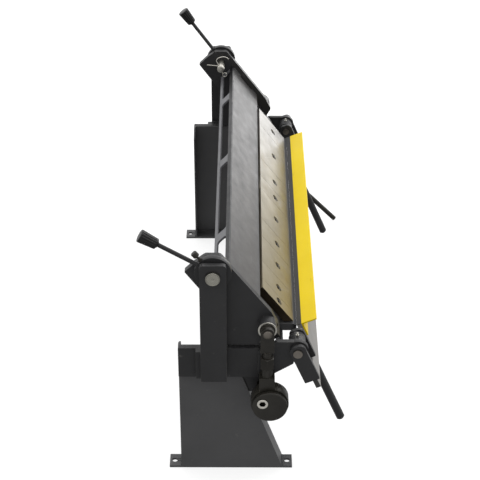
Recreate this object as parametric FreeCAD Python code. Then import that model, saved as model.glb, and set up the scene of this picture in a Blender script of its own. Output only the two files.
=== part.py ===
import FreeCAD
import Part
import math
import os

# Box and pan brake, 1220 mm (48 in) bending length.
# X runs along the machine with the left end at -X, the operator stands at -Y, +Z is up.
# The origin is on the floor, at the centre of the four floor bolt holes.
# Cross-sections are written as (f, z), where f is the distance in front of the origin, so y = -f.

# Floor bolts, feet and stands
HOLE_PITCH_F = 358.0
FLOOR_HOLE_D = 18.0
HOLE_TO_TIP = 16.0
FOOT_DEPTH = 56.0
FOOT_T = 8.0
STAND_DEPTH = 62.0
STAND_T = 6.0
STAND_BACK_F = -157.0
STAND_TOE_F = 163.0
STAND_FRONT_LEAN = 0.354
STAND_TOP_Z = 484.0
REAR_FLANGE_SQUARE = 15.0
REAR_FLANGE_DROP = 30.0
# Side brackets and columns
BRACKET_T = 15.0
BRACKET_CORNER_R = 4.0
BRACKET_FRONT_F = 84.0
BRACKET_BOTTOM_Z = 377.0
PAD_T = 19.0
PAD_BACK_F = -103.0
PAD_FRONT_F = -22.0
COLUMN_T = 17.0
COLUMN_WIDTH = 78.0
COLUMN_CORNER_R = 11.0
COLUMN_EDGE_R = 2.0
COLUMN_BOTTOM_Z = 385.0
COLUMN_OVER_PIN = 41.0
# Top rear pin, the pivot of the clamping beam
PIN_F = -49.0
PIN_Z = 758.0
PIN_D = 27.0
PIN_HEAD_D = 43.0
PIN_HEAD_T = 8.0
PIN_TAIL = 24.0
PIN_FIT = 0.3
SEAT_FIT = 0.2
# Bed
BED_TOP_Z = 485.0
BED_T = 25.0
BED_FRONT_F = 195.0
BED_LIP_OVER_ROW = 5.0
BED_EAR_FRONT_F = 125.0
BED_WEB_T = 15.0
BED_WEB_FRONT_F = 155.0
BED_WEB_BOTTOM_Z = 400.0
BED_BACK_F = 5.0
BED_REAR_WEB_F = 38.0
BED_REAR_WEB_T = 12.0
# Apron hinge on the bending line
AXIS_F = 201.0
AXIS_Z = 485.0
HINGE_PLATE_T = 15.0
HINGE_PLATE_R = 32.0
HINGE_PLATE_GAP = 5.0
HINGE_HEEL = 21.0
HINGE_HEEL_R = 6.0
HINGE_CHIN_BACK = 12.0
HINGE_CHIN_DROP = 50.0
HINGE_CHIN_R = 4.0
HINGE_BROW_BACK = 10.0
HINGE_BROW_UP = 30.0
HINGE_STEP_BACK = 20.0
HINGE_STEP_RUN = 20.0
HINGE_STEP_R = 8.0
HINGE_THROAT_R = 6.0
BARREL_D = 51.0
BARREL_LENGTH = 47.0
HINGE_PIN_D = 24.0
HINGE_PIN_HEAD_D = 28.0
HINGE_PIN_HEAD_T = 5.0
HINGE_PIN_TAIL = 4.0
# Clamping beam
END_PLATE_T = 20.0
FINGER_TO_END = 102.0
FACE_ANGLE = 52.8
NOSE_F = 192.0
NOSE_Z = 491.0
FINGER_FACE = 157.0
FINGER_T = 24.0
FINGER_GAP = 1.0
FINGER_BOLT_D = 26.0
FINGER_BOLT_SINK = 10.0
FINGER_BOLT_UP = 72.0
FINGER_WIDTHS = [50.0, 100.0, 150.0, 110.0, 200.0, 90.0, 130.0, 260.0, 130.0]
FRONT_PLATE_T = 12.0
FRONT_PLATE_GAP = 5.0
FRONT_PLATE_SET = 6.0
FRONT_PLATE_FACE = 151.0
SEAT_T = 20.0
SEAT_LOW = 40.0
SEAT_LAP = 38.0
FLANGE_T = 7.0
FLANGE_DEPTH = 62.0
FLANGE_OVERHANG = 4.0
FLANGE_STRAP = 12.0
FLANGE_ANGLE = 46.0
RIB_WIDTH = 46.0
RIB_PITCH = 476.0
WINDOW_R = 9.0
END_PLATE_PROUD = 15.0
END_PLATE_EDGE_LOW = 136.0
END_PLATE_EDGE_HIGH = 335.0
END_PLATE_OVER_PIN = 46.0
END_PLATE_CROWN = 22.0
END_PLATE_TAIL_BACK = 83.0
END_PLATE_TAIL_DROP = 8.0
END_PLATE_SHOULDER_BACK = 55.0
END_PLATE_SHOULDER_UP = 20.0
END_PLATE_HIP_BACK = 40.0
END_PLATE_HIP_DROP = 67.0
END_PLATE_REAR_BACK = 11.0
END_PLATE_REAR_DROP = 103.0
END_PLATE_BEFORE_BOSS = 33.0
END_PLATE_UNDER_BOSS = 6.0
END_PLATE_TOE_BACK = 10.0
END_PLATE_TAIL_R = 3.0
END_PLATE_SHOULDER_R = 6.0
END_PLATE_CROWN_R = 14.0
END_PLATE_BEND_R = 10.0
END_PLATE_FOOT_R = 6.0
# Front boss and link
BOSS_F = 110.0
BOSS_Z = 570.0
BOSS_D = 57.0
BOSS_LENGTH = 36.0
BOSS_CHAMFER = 3.0
LINK_GAP = 5.0
LINK_HEAD_D = 40.0
LINK_HEAD_T = 18.0
LINK_PIN_D = 29.0
LINK_PIN_OUT = 3.0
LINK_ROD_D = 24.0
LINK_NUT_ACROSS = 38.0
LINK_NUT_T = 40.0
LINK_COLLAR_D = 33.0
LINK_COLLAR_T = 28.0
LINK_BLOCK_W = 46.0
LINK_BLOCK_UP = 38.0
LINK_NECK_W = 40.0
LINK_NECK_DROP = 67.0
# Clamp shaft under the bed, its two eccentrics and the straps that ride on them
SHAFT_F = 97.0
SHAFT_Z = 334.0
SHAFT_D = 34.0
SHAFT_OUT = 3.0
SOCKET_ACROSS = 17.0
SOCKET_DEPTH = 12.0
BEARING_D = 56.0
BEARING_T = 15.0
BEARING_CORNER_R = 8.0
THROW = 26.0
THROW_DROP_ANGLE = 32.5
ECCENTRIC_WALL = 3.0
STRAP_WALL = 11.0
STRAP_T = 38.0
STRAP_FIT = 0.3
DISC_RIM = 7.0
DISC_T = 14.0
DISC_GROOVE = 3.0
DISC_CHAMFER = 2.5
# Bar that turns the clamp shaft, right side only
CLAMP_ROD_D = 19.0
CLAMP_ROD_DROP_ANGLE = 45.5
CLAMP_ROD_REACH = 454.0
CLAMP_SPIGOT_D = 10.0
CLAMP_SPIGOT_DEPTH = 20.0
# Levers
HUB_D = 108.0
HUB_T = 18.0
HUB_GAP = 5.0
HUB_SOCKET = 8.0
LEVER_ROD_D = 13.0
LEVER_REACH = 184.0
GRIP_LENGTH = 58.0
GRIP_TIP_D = 40.0
GRIP_ROOT_D = 33.0
GRIP_FLUTES = 14
LEFT_LEVER_ANGLE = 31.0
RIGHT_LEVER_ANGLE = 54.0
# Apron
APRON_RAISED = 23.0
LEAF_SET = 1.0
LEAF_T = 15.0
LEAF_OVER_ROW = 12.0
LEAF_UPPER_DEPTH = 88.0
LEAF_DEPTH = 150.0
ANGLE_LEG = 50.0
ANGLE_T = 5.0
ANGLE_ROOT_R = 5.0
ARM_T = 12.0
ARM_BACK = 21.0
ARM_FRONT = 27.0
ARM_TOP = 24.0
ARM_CROWN_R = 18.0
ARM_CORNER_R = 3.0
ARM_DOWN = 112.0
ARM_GAP = 5.0
INNER_ARM_GAP = 5.0
HANDLE_D = 27.0
HANDLE_INSET = 32.0
HANDLE_TOP = 60.0
HANDLE_END = 427.0
HANDLE_CHAMFER = 5.0

os.makedirs("parts", exist_ok=True)


def vec(x, f, z):
    return FreeCAD.Vector(x, -f, z)


def save(shape, name):
    shape.exportStep("parts/" + name + ".step")


def unit(a, b):
    df = b[0] - a[0]
    dz = b[1] - a[1]
    length = math.hypot(df, dz)
    return df / length, dz / length


def section(points, x):
    """Closed wire at x; each point is (f, z) or (f, z, corner radius)."""
    count = len(points)
    starts = []
    ends = []
    arcs = []
    for i in range(count):
        p = points[i]
        q = points[i - 1]
        r = points[(i + 1) % count]
        radius = p[2] if len(p) > 2 else 0.0
        if radius <= 0.0:
            starts.append((p[0], p[1]))
            ends.append((p[0], p[1]))
            arcs.append(None)
            continue
        a = unit(p, q)
        b = unit(p, r)
        half = math.acos(max(-1.0, min(1.0, a[0] * b[0] + a[1] * b[1]))) / 2.0
        reach = radius / math.tan(half)
        starts.append((p[0] + a[0] * reach, p[1] + a[1] * reach))
        ends.append((p[0] + b[0] * reach, p[1] + b[1] * reach))
        bis = (a[0] + b[0], a[1] + b[1])
        norm = math.hypot(bis[0], bis[1])
        dist = radius / math.sin(half) - radius
        arcs.append((p[0] + bis[0] / norm * dist, p[1] + bis[1] / norm * dist))
    edges = []
    for i in range(count):
        j = (i + 1) % count
        if arcs[i] is not None:
            edges.append(Part.Arc(vec(x, *starts[i]), vec(x, *arcs[i]), vec(x, *ends[i])).toShape())
        if math.hypot(starts[j][0] - ends[i][0], starts[j][1] - ends[i][1]) > 1e-6:
            edges.append(Part.makeLine(vec(x, *ends[i]), vec(x, *starts[j])))
    return Part.Wire(edges)


def plate(points, x0, x1):
    """Profile in (f, z) drawn out along X from x0 to x1."""
    face = Part.Face(section(points, x0))
    return face.extrude(FreeCAD.Vector(x1 - x0, 0, 0))


def bar_x(f, z, d, x0, x1):
    return Part.makeCylinder(d / 2.0, abs(x1 - x0), vec(min(x0, x1), f, z), FreeCAD.Vector(1, 0, 0))


def block(x0, x1, f0, f1, z0, z1):
    corner = FreeCAD.Vector(min(x0, x1), -max(f0, f1), min(z0, z1))
    return Part.makeBox(abs(x1 - x0), abs(f1 - f0), abs(z1 - z0), corner)


def mirrored(shape):
    return shape.mirror(FreeCAD.Vector(0, 0, 0), FreeCAD.Vector(1, 0, 0))


def turned(shape, f, z, degrees):
    """Turn about the line along X through (f, z); positive lifts the front."""
    copy = shape.copy()
    copy.rotate(vec(0, f, z), FreeCAD.Vector(-1, 0, 0), degrees)
    return copy


def save_pair(shape, name):
    save(shape, "left_" + name)
    save(mirrored(shape), "right_" + name)


# Positions along X, left side, from the finger row outwards
row = sum(FINGER_WIDTHS)
end_in = -(row / 2.0 + FINGER_TO_END)
end_out = end_in - END_PLATE_T
pad_out = end_out - HUB_T - 2 * HUB_GAP
hub_mid = (end_out + pad_out) / 2.0
column_out = pad_out - COLUMN_T
bracket_out = pad_out + PAD_T
stand_out = bracket_out + BRACKET_T
stand_in = stand_out + STAND_DEPTH
hole_x = (stand_out + stand_in) / 2.0
hinge_in = end_out - HINGE_PLATE_GAP
hinge_out = hinge_in - HINGE_PLATE_T
barrel_in = hinge_in + BARREL_LENGTH
arm_in = hinge_out - ARM_GAP
arm_out = arm_in - ARM_T
inner_out = barrel_in + INNER_ARM_GAP
boss_out = end_out - BOSS_LENGTH
link_in = boss_out - LINK_GAP
link_out = link_in - LINK_HEAD_T
link_mid = (link_in + link_out) / 2.0
strap_out = link_mid - STRAP_T / 2.0
strap_in = link_mid + STRAP_T / 2.0
disc_in = strap_out - DISC_GROOVE
disc_out = disc_in - DISC_T
disc_mid = (disc_in + disc_out) / 2.0

# Feet and stands
foot_length = HOLE_PITCH_F + 2 * HOLE_TO_TIP
foot = block(hole_x - FOOT_DEPTH / 2.0, hole_x + FOOT_DEPTH / 2.0, -foot_length / 2.0, foot_length / 2.0, 0, FOOT_T)
for side in (-1, 1):
    drill = Part.makeCylinder(FLOOR_HOLE_D / 2.0, FOOT_T + 2, vec(hole_x, side * HOLE_PITCH_F / 2.0, -1))
    foot = foot.cut(drill)
save_pair(foot, "foot")


def stand_front(z):
    """Front face of the stand, which leans back towards the top."""
    return STAND_TOE_F - STAND_FRONT_LEAN * (z - FOOT_T)


side_sheet = plate([
    (STAND_BACK_F, FOOT_T),
    (STAND_TOE_F, FOOT_T),
    (stand_front(STAND_TOP_Z), STAND_TOP_Z),
    (STAND_BACK_F, STAND_TOP_Z),
], stand_out, stand_in)
lean = STAND_T * math.hypot(1.0, STAND_FRONT_LEAN)
hollow = plate([
    (STAND_BACK_F + STAND_T, FOOT_T - 1),
    (stand_front(FOOT_T - 1) - lean, FOOT_T - 1),
    (stand_front(STAND_TOP_Z + 1) - lean, STAND_TOP_Z + 1),
    (STAND_BACK_F + STAND_T, STAND_TOP_Z + 1),
], stand_out + STAND_T, stand_in + 1)
stand = side_sheet.cut(hollow)
ear = Part.Face(Part.makePolygon([
    vec(stand_out + REAR_FLANGE_SQUARE, STAND_BACK_F - 1, STAND_TOP_Z),
    vec(stand_in + 1, STAND_BACK_F - 1, STAND_TOP_Z),
    vec(stand_in + 1, STAND_BACK_F - 1, STAND_TOP_Z - REAR_FLANGE_DROP),
    vec(stand_out + REAR_FLANGE_SQUARE, STAND_BACK_F - 1, STAND_TOP_Z),
]))
stand = stand.cut(ear.extrude(vec(0, STAND_T + 2, 0))).removeSplitter()
save_pair(stand, "stand")

bracket = plate([
    (STAND_BACK_F, BRACKET_BOTTOM_Z, BRACKET_CORNER_R),
    (BRACKET_FRONT_F, BRACKET_BOTTOM_Z, BRACKET_CORNER_R),
    (BRACKET_FRONT_F, STAND_TOP_Z),
    (STAND_BACK_F, STAND_TOP_Z, BRACKET_CORNER_R),
], bracket_out, stand_out)
save_pair(bracket, "side_bracket")

# Columns with the pad that stands them off the bracket
column_back = PIN_F - COLUMN_WIDTH / 2.0
column_front = PIN_F + COLUMN_WIDTH / 2.0
column = plate([
    (column_back, COLUMN_BOTTOM_Z, COLUMN_EDGE_R),
    (column_front, COLUMN_BOTTOM_Z, COLUMN_EDGE_R),
    (column_front, PIN_Z + COLUMN_OVER_PIN, COLUMN_CORNER_R),
    (column_back, PIN_Z + COLUMN_OVER_PIN, COLUMN_CORNER_R),
], column_out, pad_out)
pad = block(pad_out, bracket_out, PAD_BACK_F, PAD_FRONT_F, COLUMN_BOTTOM_Z, STAND_TOP_Z)
column = column.fuse(pad).removeSplitter()
column = column.cut(bar_x(PIN_F, PIN_Z, PIN_D + 2 * PIN_FIT, column_out - 1, pad_out + 1))
save_pair(column, "column")

pin = bar_x(PIN_F, PIN_Z, PIN_D, column_out, end_in + PIN_TAIL)
pin_head = bar_x(PIN_F, PIN_Z, PIN_HEAD_D, column_out - PIN_HEAD_T, column_out)
save_pair(pin.fuse(pin_head).removeSplitter(), "top_pin")

# Bed: top plate over a front and a rear web
bed_end = -stand_out
lip_end = row / 2.0 + BED_LIP_OVER_ROW
bed_low_z = BED_TOP_Z - BED_T
bed = block(-bed_end, bed_end, BED_BACK_F, BED_EAR_FRONT_F, bed_low_z, BED_TOP_Z)
bed = bed.fuse(block(-lip_end, lip_end, BED_BACK_F, BED_FRONT_F, bed_low_z, BED_TOP_Z)).removeSplitter()
save(bed, "bed_plate")
web = block(hinge_in, -hinge_in, BED_WEB_FRONT_F - BED_WEB_T, BED_WEB_FRONT_F, BED_WEB_BOTTOM_Z, bed_low_z)
save(web, "bed_front_web")
rear_web = block(-bed_end, bed_end, BED_REAR_WEB_F, BED_REAR_WEB_F + BED_REAR_WEB_T, BRACKET_BOTTOM_Z, bed_low_z)
save(rear_web, "bed_rear_web")

# Hinge plates that carry the apron at the bending line
hinge = plate([
    (BRACKET_FRONT_F, BED_WEB_BOTTOM_Z),
    (BED_WEB_FRONT_F - HINGE_HEEL, BED_WEB_BOTTOM_Z, HINGE_HEEL_R),
    (AXIS_F - HINGE_CHIN_BACK, AXIS_Z - HINGE_CHIN_DROP, HINGE_CHIN_R),
    (AXIS_F, AXIS_Z),
    (AXIS_F - HINGE_BROW_BACK, AXIS_Z + HINGE_BROW_UP),
    (BED_WEB_FRONT_F - HINGE_STEP_BACK, AXIS_Z + HINGE_BROW_UP, HINGE_STEP_R),
    (BED_WEB_FRONT_F - HINGE_STEP_BACK - HINGE_STEP_RUN, STAND_TOP_Z, HINGE_THROAT_R),
    (BRACKET_FRONT_F, STAND_TOP_Z),
], hinge_out, hinge_in)
hinge = hinge.fuse(bar_x(AXIS_F, AXIS_Z, 2 * HINGE_PLATE_R, hinge_out, hinge_in))
hinge = hinge.fuse(bar_x(AXIS_F, AXIS_Z, BARREL_D, hinge_in, barrel_in)).removeSplitter()
hinge = hinge.cut(bar_x(AXIS_F, AXIS_Z, HINGE_PIN_D + 2 * PIN_FIT, hinge_out - 1, barrel_in + 1))
save_pair(hinge, "hinge_bracket")

# Slope of the clamping face, measured up from the finger nose
slope = math.radians(FACE_ANGLE)


def on_slope(s, o):
    """Point s up the clamping face from the nose and o behind it."""
    f = NOSE_F - s * math.cos(slope) - o * math.sin(slope)
    z = NOSE_Z + s * math.sin(slope) - o * math.cos(slope)
    return f, z


# Fingers
land = FINGER_T / math.sin(slope)
finger_profile = [
    on_slope(0, 0),
    on_slope(FINGER_FACE, 0),
    on_slope(FINGER_FACE, FINGER_T),
    (NOSE_F - land, NOSE_Z),
]
edge = -row / 2.0
for number, width in enumerate(FINGER_WIDTHS, 1):
    finger = plate(finger_profile, edge + FINGER_GAP / 2.0, edge + width - FINGER_GAP / 2.0)
    seat = on_slope(FINGER_BOLT_UP, -1)
    inward = FreeCAD.Vector(0, math.sin(slope), -math.cos(slope))
    sink = Part.makeCylinder(
        FINGER_BOLT_D / 2.0, FINGER_BOLT_SINK + 1, vec(edge + width / 2.0, seat[0], seat[1]), inward)
    save(finger.cut(sink), "finger_%d" % number)
    edge = edge + width

# Beam: front plate, finger seat and windowed rear flange
fall = math.radians(FLANGE_ANGLE)
back_dir = (-math.cos(fall), -math.sin(fall))
up_dir = (-math.sin(fall), math.cos(fall))


def on_flange(b, u):
    """Point b back along the rear flange from the front plate's top edge and u above its underside."""
    return root[0] + back_dir[0] * b + up_dir[0] * u, root[1] + back_dir[1] * b + up_dir[1] * u


plate_low = FINGER_FACE + FRONT_PLATE_GAP
plate_high = plate_low + FRONT_PLATE_FACE
plate_back = FRONT_PLATE_SET + FRONT_PLATE_T
root = on_slope(plate_high, FRONT_PLATE_SET)
bevel = FRONT_PLATE_T / math.sin(slope + fall)
front_plate = plate([
    on_slope(plate_low, FRONT_PLATE_SET),
    root,
    on_flange(bevel, 0),
    on_slope(plate_low, plate_back),
], end_in, -end_in)
save(front_plate, "beam_front_plate")

finger_seat = plate([
    on_slope(SEAT_LOW, FINGER_T),
    on_slope(plate_low, FINGER_T),
    on_slope(plate_low, plate_back),
    on_slope(plate_low + SEAT_LAP, plate_back),
    on_slope(plate_low + SEAT_LAP, FINGER_T + SEAT_T),
    on_slope(SEAT_LOW, FINGER_T + SEAT_T),
], end_in, -end_in)
save(finger_seat, "beam_finger_seat")

flange = plate([
    on_flange(-FLANGE_OVERHANG, 0),
    on_flange(-FLANGE_OVERHANG, FLANGE_T),
    on_flange(FLANGE_DEPTH, FLANGE_T),
    on_flange(FLANGE_DEPTH, 0),
], end_in, -end_in)
centres = [-RIB_PITCH, 0.0, RIB_PITCH]
bounds = [end_in + FLANGE_STRAP]
for c in centres:
    bounds.append(c - RIB_WIDTH / 2.0)
    bounds.append(c + RIB_WIDTH / 2.0)
bounds.append(-end_in - FLANGE_STRAP)
for i in range(0, len(bounds), 2):
    x0 = bounds[i]
    x1 = bounds[i + 1]
    window = Part.makeBox(x1 - x0, FLANGE_DEPTH - 2 * FLANGE_STRAP, FLANGE_T + 4)
    upright = [e for e in window.Edges if e.BoundBox.XLength < 0.01 and e.BoundBox.YLength < 0.01]
    window = window.makeFillet(WINDOW_R, upright)
    window.rotate(FreeCAD.Vector(0, 0, 0), FreeCAD.Vector(-1, 0, 0), FLANGE_ANGLE)
    window.translate(vec(x0, *on_flange(FLANGE_STRAP, -2)))
    flange = flange.cut(window)
save(flange, "beam_rear_flange")

# End plates with the front boss
end_plate = plate([
    (PIN_F - END_PLATE_TAIL_BACK, PIN_Z - END_PLATE_TAIL_DROP, END_PLATE_TAIL_R),
    (PIN_F - END_PLATE_SHOULDER_BACK, PIN_Z + END_PLATE_SHOULDER_UP, END_PLATE_SHOULDER_R),
    (PIN_F - END_PLATE_CROWN, PIN_Z + END_PLATE_OVER_PIN, END_PLATE_CROWN_R),
    (PIN_F + END_PLATE_CROWN, PIN_Z + END_PLATE_OVER_PIN, END_PLATE_CROWN_R),
    on_slope(END_PLATE_EDGE_HIGH, -END_PLATE_PROUD) + (END_PLATE_SHOULDER_R,),
    on_slope(END_PLATE_EDGE_LOW, -END_PLATE_PROUD) + (END_PLATE_CROWN_R,),
    (BOSS_F + END_PLATE_BEFORE_BOSS, BOSS_Z - END_PLATE_UNDER_BOSS, END_PLATE_BEND_R),
    (BOSS_F - END_PLATE_TOE_BACK, NOSE_Z, END_PLATE_FOOT_R),
    (PIN_F - END_PLATE_REAR_BACK, NOSE_Z, END_PLATE_FOOT_R),
    (PIN_F - END_PLATE_REAR_BACK, PIN_Z - END_PLATE_REAR_DROP, END_PLATE_BEND_R),
    (PIN_F - END_PLATE_HIP_BACK, PIN_Z - END_PLATE_HIP_DROP, END_PLATE_BEND_R),
], end_out, end_in)
end_plate = end_plate.cut(bar_x(PIN_F, PIN_Z, PIN_D + 2 * PIN_FIT, end_out - 1, end_in + 1))
boss = bar_x(BOSS_F, BOSS_Z, BOSS_D, boss_out, end_out)
boss = boss.makeChamfer(BOSS_CHAMFER, [e for e in boss.Edges if e.BoundBox.XMax < boss_out + 0.1])
save_pair(end_plate.fuse(boss).removeSplitter(), "end_plate")

# Clamp shaft under the bed, carried by a bearing plate on each stand
swing = math.radians(THROW_DROP_ANGLE)
ecc_f = SHAFT_F + THROW * math.cos(swing)
ecc_z = SHAFT_Z - THROW * math.sin(swing)
ecc_d = 2 * (THROW + SHAFT_D / 2.0 + ECCENTRIC_WALL)
strap_d = ecc_d + 2 * (STRAP_FIT + STRAP_WALL)
disc_d = ecc_d + 2 * DISC_RIM


def hexagon(f, z, across, x0, x1):
    """Hexagonal prism along X."""
    reach = across / math.sqrt(3.0)
    corners = []
    for k in range(6):
        turn = math.radians(60 * k)
        corners.append((f + reach * math.cos(turn), z + reach * math.sin(turn)))
    return plate(corners, x0, x1)


shaft_end = disc_out - SHAFT_OUT
shaft = bar_x(SHAFT_F, SHAFT_Z, SHAFT_D, shaft_end, -shaft_end)
socket = hexagon(SHAFT_F, SHAFT_Z, SOCKET_ACROSS, shaft_end - 1, shaft_end + SOCKET_DEPTH)
shaft = shaft.cut(socket).cut(mirrored(socket))
save(shaft, "clamp_shaft")

bearing_r = BEARING_D / 2.0
bearing_in = stand_out + STAND_T + BEARING_T
bearing = plate([
    (stand_front(BRACKET_BOTTOM_Z), BRACKET_BOTTOM_Z),
    (SHAFT_F + bearing_r, BRACKET_BOTTOM_Z, BEARING_CORNER_R),
    (SHAFT_F + bearing_r, SHAFT_Z),
    (SHAFT_F, SHAFT_Z - bearing_r),
    (stand_front(SHAFT_Z - bearing_r), SHAFT_Z - bearing_r),
], stand_out + STAND_T, bearing_in)
bearing = bearing.fuse(bar_x(SHAFT_F, SHAFT_Z, BEARING_D, stand_out + STAND_T, bearing_in)).removeSplitter()
bearing = bearing.cut(bar_x(SHAFT_F, SHAFT_Z, SHAFT_D + 2 * PIN_FIT, stand_out, bearing_in + 1))
save_pair(bearing, "bearing")

disc = bar_x(ecc_f, ecc_z, disc_d, disc_out, disc_in)
disc = disc.makeChamfer(DISC_CHAMFER, [e for e in disc.Edges if e.BoundBox.XMax < disc_mid])
eccentric = disc.fuse(bar_x(ecc_f, ecc_z, ecc_d, disc_in, strap_in)).removeSplitter()
eccentric = eccentric.cut(bar_x(SHAFT_F, SHAFT_Z, SHAFT_D + 2 * SEAT_FIT, disc_out - 1, strap_in + 1))
save(eccentric, "left_eccentric")

# The bar points from the shaft and stands on the rim of the right disc, with a spigot in it
dip = math.radians(CLAMP_ROD_DROP_ANGLE)
aim = (math.cos(dip), -math.sin(dip))
off_f = SHAFT_F - ecc_f
off_z = SHAFT_Z - ecc_z
along = off_f * aim[0] + off_z * aim[1]
rim_at = -along + math.sqrt(along ** 2 + (disc_d / 2.0) ** 2 - off_f ** 2 - off_z ** 2)


def along_rod(d, t0, t1):
    start = vec(disc_mid, SHAFT_F + aim[0] * t0, SHAFT_Z + aim[1] * t0)
    return Part.makeCylinder(d / 2.0, t1 - t0, start, vec(0, aim[0], aim[1]))


bar = along_rod(CLAMP_ROD_D, rim_at - CLAMP_ROD_D / 2.0, CLAMP_ROD_REACH)
bar = bar.cut(bar_x(ecc_f, ecc_z, disc_d, disc_out - CLAMP_ROD_D, disc_in + CLAMP_ROD_D))
bar = bar.fuse(along_rod(CLAMP_SPIGOT_D, rim_at - CLAMP_SPIGOT_DEPTH, rim_at + CLAMP_SPIGOT_D))
tapped = along_rod(CLAMP_SPIGOT_D + 2 * SEAT_FIT, rim_at - CLAMP_SPIGOT_DEPTH - SEAT_FIT, rim_at + CLAMP_SPIGOT_D)
save(mirrored(bar.removeSplitter()), "right_clamp_rod")
save(mirrored(eccentric.cut(tapped)), "right_eccentric")

# Links: eye, screwed rod, collar and the strap around the eccentric
strap_top = ecc_z + strap_d / 2.0
block_top = strap_top + LINK_BLOCK_UP
collar_top = block_top + LINK_COLLAR_T
nut_low = collar_top + PIN_FIT
neck_z = BOSS_Z - LINK_NECK_DROP
link = bar_x(BOSS_F, BOSS_Z, LINK_HEAD_D, link_out, link_in)
link = link.fuse(block(link_out, link_in, BOSS_F - LINK_NECK_W / 2.0, BOSS_F + LINK_NECK_W / 2.0, neck_z, BOSS_Z))
link = link.fuse(bar_x(BOSS_F, BOSS_Z, LINK_PIN_D, link_out - LINK_PIN_OUT, boss_out - PIN_FIT))
link = link.fuse(Part.makeCylinder(LINK_ROD_D / 2.0, neck_z - collar_top, vec(link_mid, BOSS_F, collar_top)))
link = link.fuse(Part.makeCylinder(LINK_COLLAR_D / 2.0, LINK_COLLAR_T, vec(link_mid, BOSS_F, block_top)))
link = link.fuse(block(strap_out, strap_in, BOSS_F - LINK_BLOCK_W / 2.0, BOSS_F + LINK_BLOCK_W / 2.0,
                       ecc_z, block_top))
link = link.fuse(bar_x(ecc_f, ecc_z, strap_d, strap_out, strap_in))
link = link.cut(bar_x(ecc_f, ecc_z, ecc_d + 2 * STRAP_FIT, strap_out - 1, strap_in + 1))
save_pair(link.removeSplitter(), "link")
corner = LINK_NUT_ACROSS / math.sqrt(3.0)
nut = Part.Face(Part.makePolygon([
    vec(link_mid + corner * math.cos(math.radians(60 * k)), BOSS_F + corner * math.sin(math.radians(60 * k)), nut_low)
    for k in range(7)])).extrude(FreeCAD.Vector(0, 0, LINK_NUT_T))
nut = nut.cut(Part.makeCylinder(LINK_ROD_D / 2.0 + PIN_FIT, LINK_NUT_T + 2, vec(link_mid, BOSS_F, nut_low - 1)))
save_pair(nut, "nut")


def fluted(x, f, d, z):
    """Corners of a many-sided section across the backward direction, for a fluted grip."""
    points = []
    for k in range(GRIP_FLUTES):
        turn = 2 * math.pi * k / GRIP_FLUTES
        points.append(vec(x + d / 2.0 * math.cos(turn), f, z + d / 2.0 * math.sin(turn)))
    return points


def tapered(low, high):
    """Solid between two alike sections, with flat sides."""
    faces = [
        Part.Face(Part.makePolygon(low + low[:1])),
        Part.Face(Part.makePolygon(high + high[:1])),
    ]
    for k in range(len(low)):
        faces.append(Part.Face(Part.makePolygon([low[k - 1], low[k], high[k], high[k - 1], low[k - 1]])))
    solid = Part.Solid(Part.makeShell(faces))
    if solid.Volume < 0:
        solid.reverse()
    return solid


def lever(angle):
    """Hub, rod and grip for a lever standing at angle above the backward horizontal."""
    hub = bar_x(PIN_F, PIN_Z, HUB_D, hub_mid - HUB_T / 2.0, hub_mid + HUB_T / 2.0)
    hub = hub.cut(bar_x(PIN_F, PIN_Z, PIN_D + 2 * PIN_FIT, hub_mid - HUB_T, hub_mid + HUB_T))
    foot_at = HUB_D / 2.0 - HUB_SOCKET
    rod = Part.makeCylinder(LEVER_ROD_D / 2.0, LEVER_REACH - foot_at, vec(hub_mid, PIN_F - foot_at, PIN_Z),
                            vec(0, -1, 0))
    arm = hub.fuse(rod).removeSplitter()
    grip = tapered(
        fluted(hub_mid, PIN_F - LEVER_REACH, GRIP_ROOT_D, PIN_Z),
        fluted(hub_mid, PIN_F - LEVER_REACH - GRIP_LENGTH, GRIP_TIP_D, PIN_Z))
    arm.rotate(vec(0, PIN_F, PIN_Z), FreeCAD.Vector(1, 0, 0), angle)
    grip.rotate(vec(0, PIN_F, PIN_Z), FreeCAD.Vector(1, 0, 0), angle)
    return arm, grip


arm, grip = lever(LEFT_LEVER_ANGLE)
save(arm, "left_lever")
save(grip, "left_grip")
arm, grip = lever(RIGHT_LEVER_ANGLE)
save(mirrored(arm), "right_lever")
save(mirrored(grip), "right_grip")

# Apron, built hanging plumb from the bending line and then raised
leaf_back = AXIS_F + LEAF_SET
leaf_front = leaf_back + LEAF_T
leaf_end = row / 2.0 + LEAF_OVER_ROW


def raised(shape):
    return turned(shape, AXIS_F, AXIS_Z, APRON_RAISED)


leaf = block(-leaf_end, leaf_end, leaf_back, leaf_front, AXIS_Z - LEAF_UPPER_DEPTH, AXIS_Z)
leaf = leaf.fuse(block(arm_in, -arm_in, leaf_back, leaf_front, AXIS_Z - LEAF_DEPTH,
                       AXIS_Z - LEAF_UPPER_DEPTH)).removeSplitter()
save(raised(leaf), "apron_leaf")
angle = plate([
    (leaf_front, AXIS_Z),
    (leaf_front, AXIS_Z - ANGLE_LEG),
    (leaf_front + ANGLE_T, AXIS_Z - ANGLE_LEG),
    (leaf_front + ANGLE_T, AXIS_Z - ANGLE_T, ANGLE_ROOT_R),
    (leaf_front + ANGLE_LEG, AXIS_Z - ANGLE_T),
    (leaf_front + ANGLE_LEG, AXIS_Z),
], -leaf_end, leaf_end)
save(raised(angle), "apron_angle")
outer_arm = plate([
    (AXIS_F - ARM_BACK, AXIS_Z + ARM_TOP, ARM_CROWN_R),
    (AXIS_F + ARM_FRONT, AXIS_Z + ARM_TOP, ARM_CROWN_R),
    (AXIS_F + ARM_FRONT, AXIS_Z - ARM_DOWN, ARM_CORNER_R),
    (AXIS_F - ARM_BACK, AXIS_Z - ARM_DOWN, ARM_CORNER_R),
], arm_out, arm_in)
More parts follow.
